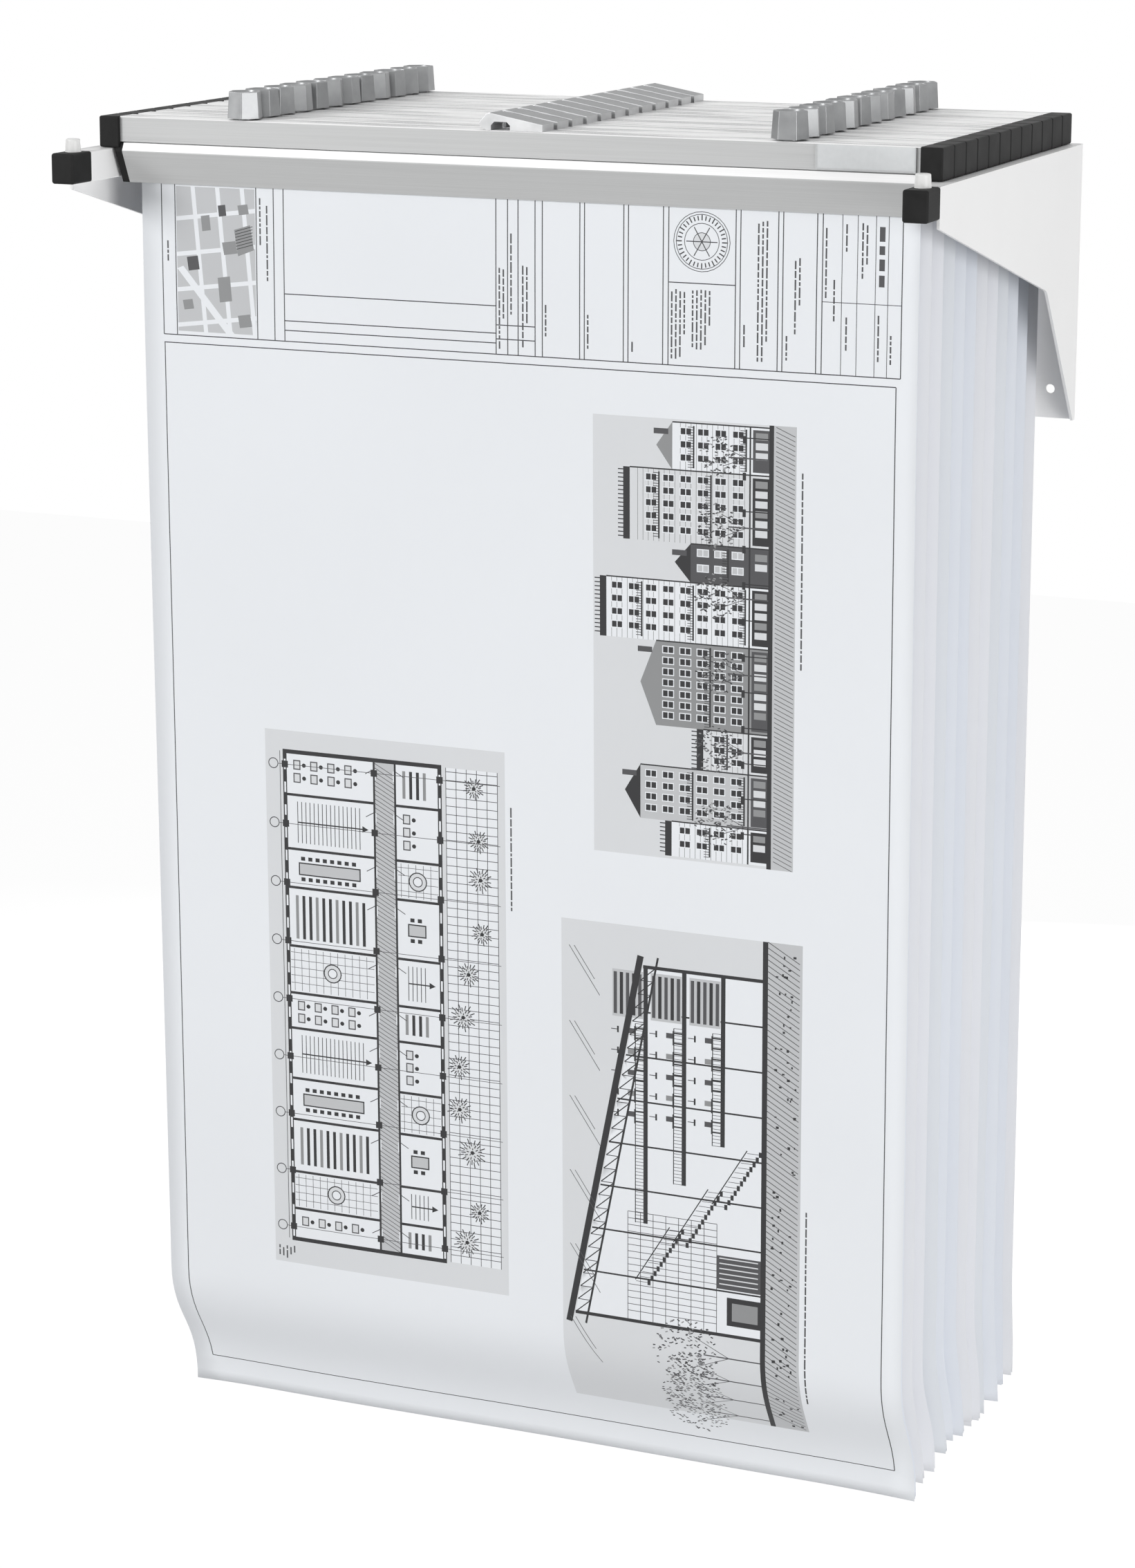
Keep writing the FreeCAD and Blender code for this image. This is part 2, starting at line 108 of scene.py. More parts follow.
def object_noise(tree, scale, detail=3.0, stretch=(1.0, 1.0, 1.0)):
    """Noise on object coordinates, stretched along the axes."""
    place = tree.nodes.new("ShaderNodeTexCoord")
    mapping = tree.nodes.new("ShaderNodeMapping")
    mapping.inputs["Scale"].default_value = stretch
    noise = tree.nodes.new("ShaderNodeTexNoise")
    noise.inputs["Scale"].default_value = scale
    noise.inputs["Detail"].default_value = detail
    tree.links.new(place.outputs["Object"], mapping.inputs["Vector"])
    tree.links.new(mapping.outputs["Vector"], noise.inputs["Vector"])
    return noise.outputs["Fac"]


def spread(tree, value, low, high, inside=(0.3, 0.7)):
    """A value between two limits."""
    node = tree.nodes.new("ShaderNodeMapRange")
    node.inputs["From Min"].default_value = inside[0]
    node.inputs["From Max"].default_value = inside[1]
    node.inputs["To Min"].default_value = low
    node.inputs["To Max"].default_value = high
    tree.links.new(value, node.inputs["Value"])
    return node.outputs["Result"]


def blend_colours(tree, value, first, second, inside=(0.3, 0.7)):
    """A colour that goes from one to another as a value goes between two limits."""
    ramp = tree.nodes.new("ShaderNodeValToRGB")
    ramp.color_ramp.elements[0].position = inside[0]
    ramp.color_ramp.elements[1].position = inside[1]
    ramp.color_ramp.elements[0].color = (*first, 1.0)
    ramp.color_ramp.elements[1].color = (*second, 1.0)
    tree.links.new(value, ramp.inputs["Fac"])
    return ramp.outputs["Color"]


def raise_surface(tree, shader, value, strength, distance):
    """Fine relief, its height in metres."""
    bump = tree.nodes.new("ShaderNodeBump")
    bump.inputs["Strength"].default_value = strength
    bump.inputs["Distance"].default_value = distance
    tree.links.new(value, bump.inputs["Height"])
    tree.links.new(bump.outputs["Normal"], shader.inputs["Normal"])


def axes_of(tree, output):
    """The X, Y and Z of the object's own place or normal."""
    place = tree.nodes.new("ShaderNodeTexCoord")
    parts = tree.nodes.new("ShaderNodeSeparateXYZ")
    tree.links.new(place.outputs[output], parts.inputs["Vector"])
    return parts.outputs


def size_of(tree, value):
    """A value without its sign."""
    node = tree.nodes.new("ShaderNodeMath")
    node.operation = "ABSOLUTE"
    tree.links.new(value, node.inputs[0])
    return node.outputs["Value"]


def facing(tree, low, high):
    """1 where the height of the surface's normal is between two limits, with soft ends."""
    soft = 0.05
    height = axes_of(tree, "Normal")["Z"]
    above = spread(tree, height, 0.0, 1.0, (low - soft, low + soft))
    below = spread(tree, height, 1.0, 0.0, (high - soft, high + soft))
    both = tree.nodes.new("ShaderNodeMath")
    both.operation = "MULTIPLY"
    tree.links.new(above, both.inputs[0])
    tree.links.new(below, both.inputs[1])
    return both.outputs["Value"]


def near_middle(tree, reach):
    """1 where the surface lies within a distance of the middle of the clamp's length."""
    distance = size_of(tree, axes_of(tree, "Object")["X"])
    return spread(tree, distance, 1.0, 0.0, (reach - MM, reach + MM))


def cut_ends(tree):
    """1 on faces that look along the clamp's length."""
    turn = size_of(tree, axes_of(tree, "Normal")["X"])
    return spread(tree, turn, 0.0, 1.0, (0.6, 0.8))


def over(tree, mask, under, upper):
    """One colour laid over another where the mask is 1."""
    mix = tree.nodes.new("ShaderNodeMix")
    mix.data_type = "RGBA"
    tree.links.new(mask, mix.inputs["Factor"])
    tree.links.new(under, mix.inputs["A"])
    tree.links.new(upper, mix.inputs["B"])
    return mix.outputs["Result"]


def powder_coat():
    """White with slight patches and the fine orange peel of baked powder."""
    material, tree, shader = new_material("white powder coat", (0.92, 0.92, 0.92), 0.42)
    patches = object_noise(tree, 6.0, 4.0)
    tint = blend_colours(tree, patches, (0.9, 0.9, 0.9), (0.95, 0.95, 0.95))
    tree.links.new(tint, shader.inputs["Base Color"])
    peel = object_noise(tree, 900.0, 2.0)
    tree.links.new(spread(tree, patches, 0.36, 0.48), shader.inputs["Roughness"])
    raise_surface(tree, shader, peel, 0.18, 0.0004)
    return material


def anodised_aluminium():
    """Satin on the fronts, with a painted highlight on the bevel under them and painted rib shade
    and reflection streaked along the top.
    """
    material, tree, shader = new_material(
        "satin anodised aluminium", (0.55, 0.555, 0.555), 0.42, 0.3)
    drawn = object_noise(tree, 1.0, 4.0, (6.0, 1400.0, 1400.0))
    satin = blend_colours(tree, drawn, (0.475, 0.48, 0.48), (0.525, 0.53, 0.53))
    # painted highlight: faces slanting up towards the light, the bevel, get a near-white colour as
    # if they caught the light from above
    bright = blend_colours(tree, drawn, (0.93, 0.93, 0.93), (0.97, 0.97, 0.97))
    # painted shade and reflection: dark and light streaks on the upward faces stand in for the
    # shade in the rib grooves and the ribs' reflections
    painted_top_streak_noise = object_noise(tree, 1.0, 3.0, (9.0, 45.0, 60.0))
    painted_top_shade_and_reflection = blend_colours(tree, painted_top_streak_noise, (0.12, 0.125, 0.13), (0.78, 0.78, 0.78), (0.41, 0.59))
    # the painted bevel highlight, then the painted top streaks, are laid over the satin
    colour = over(tree, facing(tree, 0.25, 0.85), satin, bright)
    colour = over(tree, facing(tree, 0.9, 1.2), colour, painted_top_shade_and_reflection)
    tree.links.new(colour, shader.inputs["Base Color"])
    tree.links.new(spread(tree, drawn, 0.36, 0.5), shader.inputs["Roughness"])
    raise_surface(tree, shader, drawn, 0.06, 0.0002)
    return material


def moulded_black():
    """Finely textured, a little lighter where it is rubbed."""
    material, tree, shader = new_material("black moulded plastic", (0.012, 0.012, 0.012), 0.62)
    shader.inputs["Specular IOR Level"].default_value = 0.15
    rubbed = object_noise(tree, 45.0, 5.0)
    tint = blend_colours(tree, rubbed, (0.009, 0.009, 0.009), (0.022, 0.022, 0.022))
    tree.links.new(tint, shader.inputs["Base Color"])
    tree.links.new(spread(tree, rubbed, 0.55, 0.7), shader.inputs["Roughness"])
    raise_surface(tree, shader, object_noise(tree, 1600.0, 2.0), 0.25, 0.0003)
    return material


def moulded_grey():
    """Silvery, with painted shade that darkens the tops and a painted lit copy that makes the
    handles' sides lighter than the knobs'.
    """
    handle_reach = 0.06          # each side of the clamp's middle, in metres
    material, tree, shader = new_material("silver grey plastic", (0.3, 0.305, 0.31), 0.38, 0.8)
    flow = object_noise(tree, 70.0, 3.0)
    side = blend_colours(tree, flow, (0.27, 0.275, 0.28), (0.35, 0.355, 0.36))
    # painted shade: the upward faces get a darker colour, as if little light reached them from
    # above
    top = blend_colours(tree, flow, (0.17, 0.175, 0.18), (0.26, 0.265, 0.27))
    # painted light: a lighter copy of the same plastic for the handles' sides, as if lit more
    # strongly from the front than the knobs
    painted_lit_handle_side = blend_colours(tree, flow, (0.52, 0.525, 0.53), (0.62, 0.625, 0.63))
    side = over(tree, near_middle(tree, handle_reach), side, painted_lit_handle_side)
    tree.links.new(over(tree, facing(tree, 0.8, 1.2), side, top), shader.inputs["Base Color"])
    tree.links.new(spread(tree, flow, 0.34, 0.42), shader.inputs["Roughness"])
    raise_surface(tree, shader, object_noise(tree, 1800.0, 2.0), 0.12, 0.0002)
    return material


def moulded_white():
    """The stop pegs' slightly warm white."""
    material, tree, shader = new_material("white peg plastic", (0.84, 0.84, 0.83), 0.35)
    flow = object_noise(tree, 120.0, 2.0)
    tint = blend_colours(tree, flow, (0.81, 0.81, 0.8), (0.87, 0.87, 0.86))
    tree.links.new(tint, shader.inputs["Base Color"])
    raise_surface(tree, shader, object_noise(tree, 1500.0, 2.0), 0.08, 0.0002)
    return material


def clear_strip():
    """Clear with a slight haze, and with painted shade on the faces where it is cut across."""
    material, tree, shader = new_material("clear label strip", (0.92, 0.94, 0.95), 0.12)
    shader.inputs["Alpha"].default_value = 0.6
    shader.inputs["IOR"].default_value = 1.49
    haze = object_noise(tree, 300.0, 2.0)
    strip = blend_colours(tree, haze, (0.9, 0.92, 0.93), (0.94, 0.96, 0.97))
    # painted shade: the faces at the strip's cut ends get a near-black colour
    edge = blend_colours(tree, haze, (0.1, 0.1, 0.1), (0.16, 0.16, 0.16))
    tree.links.new(over(tree, cut_ends(tree), strip, edge), shader.inputs["Base Color"])
    tree.links.new(spread(tree, haze, 0.08, 0.2), shader.inputs["Roughness"])
    return material


def zinc_plate():
    """Zinc with a spangle in its gloss."""
    material, tree, shader = new_material("zinc plated steel", (0.55, 0.55, 0.54), 0.35, 0.9)
    spangle = object_noise(tree, 220.0, 3.0)
    tree.links.new(spread(tree, spangle, 0.28, 0.45), shader.inputs["Roughness"])
    return material


def drawing_paper(name, colour, roughness=0.78):
    """Paper, bare or printed, with wide faint clouds of colour and fine fibre down its length."""
    cloud_share = 0.975
    material, tree, shader = new_material(name, colour, roughness)
    fibre = object_noise(tree, 260.0, 6.0, (1.0, 1.0, 0.45))
    cloud = object_noise(tree, 4.0, 2.0)
    darker = tuple(c * cloud_share for c in colour)
    tree.links.new(blend_colours(tree, cloud, darker, colour), shader.inputs["Base Color"])
    raise_surface(tree, shader, fibre, 0.12, 0.0003)
    return material


PAPER_WHITE = (0.845, 0.868, 0.90)
FINISHES = {
    "white_powder_coat": powder_coat(),
    "aluminium": anodised_aluminium(),
    "black_plastic": moulded_black(),
    "grey_plastic": moulded_grey(),
    "white_plastic": moulded_white(),
    "clear_plastic": clear_strip(),
    "steel": zinc_plate(),
    "paper": drawing_paper("drawing paper", PAPER_WHITE),
}

# Neighbouring bundles are cut from slightly different papers.
BUNDLE_PAPERS = [
    drawing_paper("cool drawing paper", (0.82, 0.855, 0.92)),
    drawing_paper("pale drawing paper", (0.865, 0.88, 0.925)),
    drawing_paper("blue white drawing paper", (0.835, 0.868, 0.93)),
    drawing_paper("warm drawing paper", (0.855, 0.868, 0.905)),
    drawing_paper("grey white drawing paper", (0.815, 0.845, 0.89)),
]
PAPER_TURN = 3               # places along the list from one bundle to the next

# The front sheet's material slots: bare paper, the prints on it, and last its back.
INKS = {
    "paper": drawing_paper("front sheet paper", PAPER_WHITE),
    "line": drawing_paper("drawing line", (0.045, 0.045, 0.05), 0.6),
    "black": drawing_paper("solid black print", (0.018, 0.018, 0.02), 0.55),
    "dark": drawing_paper("dark grey print", (0.075, 0.075, 0.08), 0.6),
    "mid": drawing_paper("mid grey print", (0.28, 0.285, 0.29), 0.65),
    "pale": drawing_paper("pale grey print", (0.55, 0.56, 0.575), 0.7),
    "tint": drawing_paper("tinted print", (0.71, 0.725, 0.745), 0.75),
    "back": drawing_paper("back of the front sheet", PAPER_WHITE),
}


def finish_solids():
    """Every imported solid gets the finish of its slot."""
    for part in frame["record"]["subparts"]:
        mesh = frame["nodes"][part["node"]].data
        mesh.materials.clear()
        mesh.materials.append(FINISHES[part["material_slot"]])


# ---------------------------------------------------------------- hanging sheets

class Hang:
    """Where a sheet's points lie.

    s runs across from the left edge and t down from the top edge, in millimetres.
    """

    STEP = 2.0               # along the sheet, between the points of its hanging line

    def __init__(self, clamp_index, sheet_index, length):
        share = clamp_index / (len(CLAMPS) - 1)
        bundle = random.Random(HANG_SEED + clamp_index)
        self.lean = FRONT_LEAN + (REAR_LEAN - FRONT_LEAN) * share + bundle.uniform(-0.1, 0.1)
        self.curl = FRONT_CURL + (REAR_CURL - FRONT_CURL) * share
        self.length = length
        self.drift = bundle.uniform(-2.0, 2.5) if clamp_index else 0.0
        self.ripple = bundle.uniform(0.6, 1.4)
        self.phase = bundle.uniform(0.0, 2 * math.pi)
        self.corner = bundle.uniform(-3.0, 3.5)
        self.place_in_bundle = sheet_index - (SHEETS_IN_BUNDLE - 1) / 2
        self.depth = JAW_MIDDLE + clamp_index * CLAMP_PITCH
        self.line = self.hang_line()

    def angle(self, t):
        """How far the sheet is turned from the vertical."""
        into_lean = min(max(t - HELD_LENGTH, 0.0) / LEAN_RUN, 1.0)
        into_curl = min(max(t - (SHEET_LENGTH - CURL_RUN), 0.0) / CURL_RUN, 1.0)
        return math.radians(self.lean * into_lean + self.curl * math.sin(math.pi * into_curl))

    def hang_line(self):
        """Depth and height at even steps of the sheet's own length."""
        line = [(0.0, 0.0)]
        for index in range(int(self.length / self.STEP) + 2):
            turn = self.angle((index + 0.5) * self.STEP)
            y, z = line[-1]
            line.append((y + self.STEP * math.sin(turn), z - self.STEP * math.cos(turn)))
        return line

    def wave(self, across):
        """One long wave and one short wave over the sheet's width."""
        long_wave = math.sin(across * 5.2 + self.phase) * 1.8
        short_wave = math.sin(across * 12.0 + self.phase * 2.1) * 0.7
        return (long_wave + short_wave) * self.ripple

    def place(self, s, t):
        index = int(t / self.STEP)
        part = t / self.STEP - index
        (y0, z0), (y1, z1) = self.line[index], self.line[index + 1]
        free = min(max(t - HELD_LENGTH - JAW_MARGIN, 0.0) / (self.length - HELD_LENGTH), 1.0)
        across = s / SHEET_WIDTH
        near_foot = max(0.0, (t - self.length + FOOT_RUN) / FOOT_RUN)
        near_right = max(0.0, (across - RIGHT_CORNER) / (1.0 - RIGHT_CORNER))
        near_left = max(0.0, (LEFT_CORNER - across) / LEFT_CORNER)
        near_edge = near_right ** 2 + near_left ** 2
        flutter = math.sin(near_foot * 7.0 + self.phase) * near_foot * near_edge * 1.6
        y = self.depth + y0 + (y1 - y0) * part
        y += self.wave(across) * free + near_foot ** 2 * near_edge * self.corner + flutter
        y += self.place_in_bundle * (SHEET_STEP + (FAN - SHEET_STEP) * free ** 2)
        x = SHEET_LEFT + s + self.drift * free ** 2
        z = SHEET_TOP + z0 + (z1 - z0) * part
        return Vector((x, y, z)) * MM


def joined(name, corners, faces, inks, materials):
    """A smooth mesh object whose faces take their materials by number."""
    mesh = bpy.data.meshes.new(name)
    mesh.from_pydata(corners, [], faces)
    for material in materials:
        mesh.materials.append(material)
    mesh.polygons.foreach_set("material_index", inks)
    mesh.polygons.foreach_set("use_smooth", [True] * len(faces))
    obj = bpy.data.objects.new(name, mesh)
    bpy.context.scene.collection.objects.link(obj)
    return obj


def thicken(obj, back_offset):
    """Gives a sheet its paper thickness. Its back and rim take the last of its materials."""
    wall = obj.modifiers.new("paper thickness", "SOLIDIFY")
    wall.thickness = PAPER_THICKNESS * MM
    wall.offset = 0.0
    wall.material_offset = back_offset
    wall.material_offset_rim = back_offset
    evaluated = obj.evaluated_get(bpy.context.evaluated_depsgraph_get())
    mesh = bpy.data.meshes.new_from_object(evaluated)
    obj.modifiers.clear()
    obj.data = mesh
    return obj


def stops_down(length, count):
    """Even stops down a sheet, with extra ones in the jaws and in the curl at its foot."""
    free_run = length - CURL_RUN - HELD_LENGTH
    stops = [0.0, 12.0, HELD_LENGTH]
    stops += [HELD_LENGTH + free_run * i / count for i in range(1, count + 1)]
    stops += [length - CURL_RUN * (1 - i / CURL_ROWS) for i in range(1, CURL_ROWS + 1)]
    return stops


def plain_sheet(name, hang, paper):
    """A sheet with nothing on it, as an even net of faces."""
    columns = [SHEET_WIDTH * i / SHEET_COLUMNS for i in range(SHEET_COLUMNS + 1)]
    rows = stops_down(hang.length, PLAIN_ROWS)
    corners = [hang.place(s, t) for t in rows for s in columns]
    faces = []
    for row in range(len(rows) - 1):
        for column in range(len(columns) - 1):
            first = row * len(columns) + column
            below = first + len(columns)
            faces.append((first, below, below + 1, first + 1))
    return thicken(joined(name, corners, faces, [0] * len(faces), [paper]), 0)


# ---------------------------------------------------------------- the front sheet's drawings

class Drawing:
    """Flat shapes in the sheet's own millimetres, later ones over earlier ones."""

    def __init__(self):
        self.shapes = []
        self.chance = random.Random(DRAWING_SEED)

    def area(self, points, ink):
        """A filled outline."""
        self.shapes.append((points, ink))

    def block(self, s0, t0, s1, t1, ink):
        """A filled rectangle between two corners."""
        self.area([(s0, t0), (s1, t0), (s1, t1), (s0, t1)], ink)

    def line(self, s0, t0, s1, t1, width=0.75, ink="line"):
        """A straight stroke of even width."""
        length = math.hypot(s1 - s0, t1 - t0)
        ds = -(t1 - t0) / length * width / 2
        dt = (s1 - s0) / length * width / 2
        one_side = [(s0 + ds, t0 + dt), (s1 + ds, t1 + dt)]
        other_side = [(s1 - ds, t1 - dt), (s0 - ds, t0 - dt)]
        self.area(one_side + other_side, ink)

    def hatch(self, s0, t0, s1, t1, step, ink="line", width=0.5, slant=0.0):
        """Even strokes across an area, from its left side to its right."""
        for index in range(int((t1 - t0 - slant) / step) + 1):
            t = t0 + index * step
            self.line(s0, t, s1, t + slant, width, ink)

    def disc(self, s, t, radius, ink, sides=14):
        """A filled round."""
        turns = [2 * math.pi * i / sides for i in range(sides)]
        self.area([(s + radius * math.cos(a), t + radius * math.sin(a)) for a in turns], ink)

    def ring(self, s, t, radius, width=0.5, ink="line", under="paper", sides=28):
        """A round stroke with plain ground inside it."""
        self.disc(s, t, radius, ink, sides)
        self.disc(s, t, radius - width, under, sides)

    def small_print(self, s0, t0, t1, columns=1, size=1.2, ink="dark"):
        """Columns of short strokes that stand for small print set on end."""
        column_step, word_gap = 2.6, 0.9         # in stroke widths
        for column in range(columns):
            s = s0 + column * size * column_step
            t = t0 + self.chance.uniform(0.0, 3.0)
            end = t1 if column < columns - 1 else t0 + (t1 - t0) * self.chance.uniform(0.5, 0.95)
            while t < end - size * 2:
                word = min(self.chance.uniform(1.6, 6.5) * size, end - t)
                self.block(s, t, s + size, t + word, ink)
                t += word + size * word_gap

    def tree(self, s, t, radius, trunk):
        """A tree lying on its side, its foot to the right: a trunk and a crown of leaf strokes."""
        self.line(s + trunk, t, s, t, 1.0, "dark")
        for branch in (-0.5, 0.45):
            self.line(s + trunk * 0.45, t, s - radius * 0.3, t + radius * branch, 0.5, "dark")
        leaves = int(radius * 7)
        crown_middle = s - radius * 0.55
        for _ in range(leaves):
            turn = self.chance.uniform(0.0, 2 * math.pi)
            reach = radius * math.sqrt(self.chance.random())
            leaf_s = crown_middle + reach * math.cos(turn)
            leaf_t = t + reach * math.sin(turn)
            slant = self.chance.uniform(-1.3, 1.3)
            ink = self.chance.choice(("dark", "dark", "mid", "black"))
            self.line(leaf_s, leaf_t, leaf_s + 1.8, leaf_t + slant, 0.9, ink)


# The ruled border round the drawings
BORDER_LEFT, BORDER_RIGHT, BORDER_TOP, BORDER_FOOT = 15.0, 579.0, 134.0, 957.0


def title_strip(draw):
    """The ruled title strip along the upper edge, with strokes where words would stand."""
    top, foot = 17.0, 128.0
    left, right = 16.0, 582.0
    draw.line(left, foot, right, foot)
    draw.line(left, foot + 6.0, BORDER_RIGHT, foot + 6.0)
    rules = (
        27.0, 93.0, 107.0, 115.0, 282.0, 291.0, 299.0, 312.0, 317.5, 346.0, 349.5,
        379.0, 382.5, 408.5, 412.5, 462.0, 465.5, 493.0, 496.5, 521.0, 525.0,
    )
    for s in rules:
        draw.line(s, top, s, foot)
    draw.line(right, top, right, foot)
    draw.line(left, top, left, foot)
    for t in (93.5, 113.0, 120.0):
        draw.line(115.0, t, 282.0, t)
    for t in (107.0, 117.0):
        draw.line(282.0, t, 312.0, t)
    prints = (
        (20.0, 58.0, 86.0, 1), (95.5, 24.0, 92.0, 1), (101.0, 30.0, 124.0, 1),
        (284.0, 66.0, 124.0, 2), (293.0, 40.0, 124.0, 1), (302.0, 62.0, 122.0, 2),
        (319.5, 90.0, 125.0, 1), (351.5, 96.0, 125.0, 1), (385.0, 112.0, 126.0, 1),
        (414.5, 74.0, 124.0, 4), (430.0, 74.0, 116.0, 5), (468.0, 96.0, 125.0, 1),
        (478.0, 24.0, 122.0, 3), (499.0, 100.0, 126.0, 1), (505.0, 48.0, 104.0, 2),
        (527.0, 26.0, 92.0, 1), (533.0, 62.0, 120.0, 1), (553.0, 22.0, 64.0, 2),
        (542.0, 86.0, 120.0, 1), (565.0, 84.0, 120.0, 1), (574.0, 96.0, 124.0, 1),
        (541.5, 24.0, 48.0, 1),
    )
    for s, t0, t1, columns in prints:
        draw.small_print(s, t0, t1, columns)
    location_map(draw, 28.0, 19.0, 92.0, 125.0)
    stamp(draw, 437.0, 41.0, 21.0)
    draw.line(412.5, 70.0, 462.0, 70.0)
    for s in (539.0, 550.0, 563.0, 572.0):
        draw.line(s, top, s, foot, 0.5)
    draw.line(525.0, 78.0, right, 78.0, 0.5)
    for t0, t1 in ((25.0, 35.0), (38.0, 44.0), (47.0, 55.0), (58.0, 66.0)):
        draw.block(565.5, t0, 569.5, t1, "dark")


def location_map(draw, s0, t0, s1, t1):
    """A made-up street map: grey plots between pale streets, with a few buildings."""
    cross_streets, long_streets = 4, 3
    draw.block(s0, t0, s1, t1, "pale")
    for index in range(cross_streets):
        t = t0 + 14.0 + index * 26.0
        draw.area([(s0, t + 8), (s1, t), (s1, t + 3.2), (s0, t + 11.2)], "paper")
    for index in range(long_streets):
        s = s0 + 12.0 + index * 20.0
        draw.area([(s, t0), (s + 3.4, t0), (s + 12.4, t1), (s + 9.0, t1)], "paper")
    draw.area([(s0, t0 + 60), (s0 + 5, t0 + 58), (s0 + 46, t1), (s0 + 39, t1)], "paper")
    own_plot = [(s0 + 47, t0 + 30), (s0 + 60, t0 + 26), (s0 + 63, t0 + 44), (s0 + 50, t0 + 49)]
    draw.area(own_plot, "mid")
    for index in range(7):
        t = t0 + 31 + index * 2.2
        draw.line(s0 + 48, t, s0 + 62, t - 4, 0.5, "black")
    buildings = (
        (8, 50, 9, 10, "dark"), (33, 64, 10, 18, "mid"), (4, 82, 8, 7, "mid"),
        (50, 11, 8, 7, "mid"), (49, 91, 10, 9, "mid"), (20, 20, 7, 11, "mid"),
        (34, 12, 6, 8, "dark"), (37, 38, 11, 9, "mid"),
    )
    for s, t, width, depth, ink in buildings:
        skew = width * 0.15
        left, top = s0 + s, t0 + t
        upper = [(left, top + skew), (left + width, top)]
        lower = [(left + width + skew, top + depth), (left + skew, top + depth + skew)]
        draw.area(upper + lower, ink)


def stamp(draw, s, t, radius):
    """A plain round office stamp: rings, ticks and a star of lines."""
    ticks, points = 36, 6
    draw.ring(s, t, radius)
    draw.ring(s, t, radius - 1.8)
    for index in range(ticks):
        turn = 2 * math.pi * index / ticks
        inner, outer = radius - 6.2, radius - (3.0 if index % 3 else 2.4)
        draw.line(s + inner * math.cos(turn), t + inner * math.sin(turn),
                  s + outer * math.cos(turn), t + outer * math.sin(turn), 0.9)
    draw.ring(s, t, radius - 8.0)
    draw.ring(s, t, 6.5, 0.5, "line", "tint")
    for index in range(points):
        turn = 2 * math.pi * index / points
        draw.line(s, t, s + 11.5 * math.cos(turn), t + 11.5 * math.sin(turn), 0.7)


def desks(draw, s0, t0, s1, t1):
    """Rows of small desks with a chair each."""
    row_step, desk_step = 14, 10
    for row in range(int((s1 - s0 - 6) / row_step)):
        for place in range(int((t1 - t0 - 4) / desk_step)):
            s, t = s0 + 5 + row * row_step, t0 + 4 + place * desk_step
            draw.block(s, t, s + 6, t + 7.5, "dark")
            draw.block(s + 0.9, t + 0.9, s + 5.1, t + 6.6, "tint")
            draw.disc(s + 8.8, t + 3.8, 1.7, "black", 8)


def stair(draw, s0, t0, s1, t1):
    """A flight of steps with an arrow along it."""
    tread = 3.4
    middle = (t0 + t1) / 2
    for step in range(int((s1 - s0 - 14) / tread)):
        draw.line(s0 + 8 + step * tread, t0 + 3, s0 + 8 + step * tread, t1 - 3, 0.6)
    draw.line(s0 + 8, middle, s1 - 8, middle, 1.0, "black")
    draw.area([(s1 - 8, middle - 2.5), (s1 - 3, middle), (s1 - 8, middle + 2.5)], "black")


def long_table(draw, s0, t0, s1, t1):
    """A meeting table with chairs on both sides."""
    seat_step = 6
    middle = (t0 + t1) / 2
    draw.block(s0 + 8, middle - 5, s1 - 10, middle + 5, "black")
    draw.block(s0 + 9, middle - 4, s1 - 11, middle + 4, "pale")
    for seat in range(int((s1 - s0 - 20) / seat_step)):
        s = s0 + 10 + seat * seat_step
        for t in (middle - 9.5, middle + 6.5):
            draw.block(s, t, s + 3.4, t + 3, "black")


def shelves(draw, s0, t0, s1, t1):
    """Shelves side by side over the whole room."""
    shelf_step = 5.5
    for shelf in range(int((s1 - s0 - 8) / shelf_step)):
        s = s0 + 5 + shelf * shelf_step
        draw.block(s, t0 + 4, s + 2.4, t1 - 4, "black" if shelf % 3 else "mid")


def tiles(draw, s0, t0, s1, t1):
    """A tiled floor with a round table."""
    tile_size = 6
    s_middle, t_middle = (s0 + s1) / 2, (t0 + t1) / 2
    for tile in range(int((s1 - s0) / tile_size)):
        draw.line(s0 + 3 + tile * tile_size, t0, s0 + 3 + tile * tile_size, t1, 0.4, "dark")
    for tile in range(int((t1 - t0) / tile_size)):
        draw.line(s0, t0 + 3 + tile * tile_size, s1, t0 + 3 + tile * tile_size, 0.4, "dark")
    draw.ring(s_middle, t_middle, 7.5, 0.9, "black", "tint", 18)
    draw.ring(s_middle, t_middle, 4.0, 0.7, "black", "paper", 14)


# The rooms of the plan in their order down the corridor
ROOM_WIDTHS = (33, 42, 30, 46, 37, 28, 40)
LEFT_ROOMS = (desks, stair, long_table, shelves, tiles)
RIGHT_ROOMS = (shelves, desks, tiles, long_table, stair)


def court(draw, s0, t0, s1, t1):
    """Square paving with a row of trees seen from above."""
    rules, trees, leaves = 6, 11, 34
    golden_turn = 2.4            # in radians, so that no two leaves line up
    draw.block(s0, t0, s1, t1, "paper")
    draw.hatch(s0, t0 + 3, s1, t1, 6.5)
    for index in range(rules):
        s = s0 + index * (s1 - s0) / (rules - 1)
        draw.line(s, t0, s, t1, 0.5)
    for index in range(trees):
        s = s0 + 13 + draw.chance.uniform(-5, 15)
        t = t0 + 12 + index * (t1 - t0 - 24) / (trees - 1) + draw.chance.uniform(-6, 6)
        crown = draw.chance.uniform(8.5, 12.5)
        draw.disc(s, t, crown * 0.55, "tint", 11)
        for leaf in range(leaves):
            turn = leaf * golden_turn
            reach = crown * math.sqrt((leaf + 1) / leaves)
            ds, dt = reach * math.cos(turn), reach * math.sin(turn)
            ink = "black" if leaf % 3 else "dark"
            draw.line(s + ds * 0.6, t + dt * 0.6, s + ds, t + dt, 0.8, ink)
        draw.disc(s, t, 1.6, "black", 8)


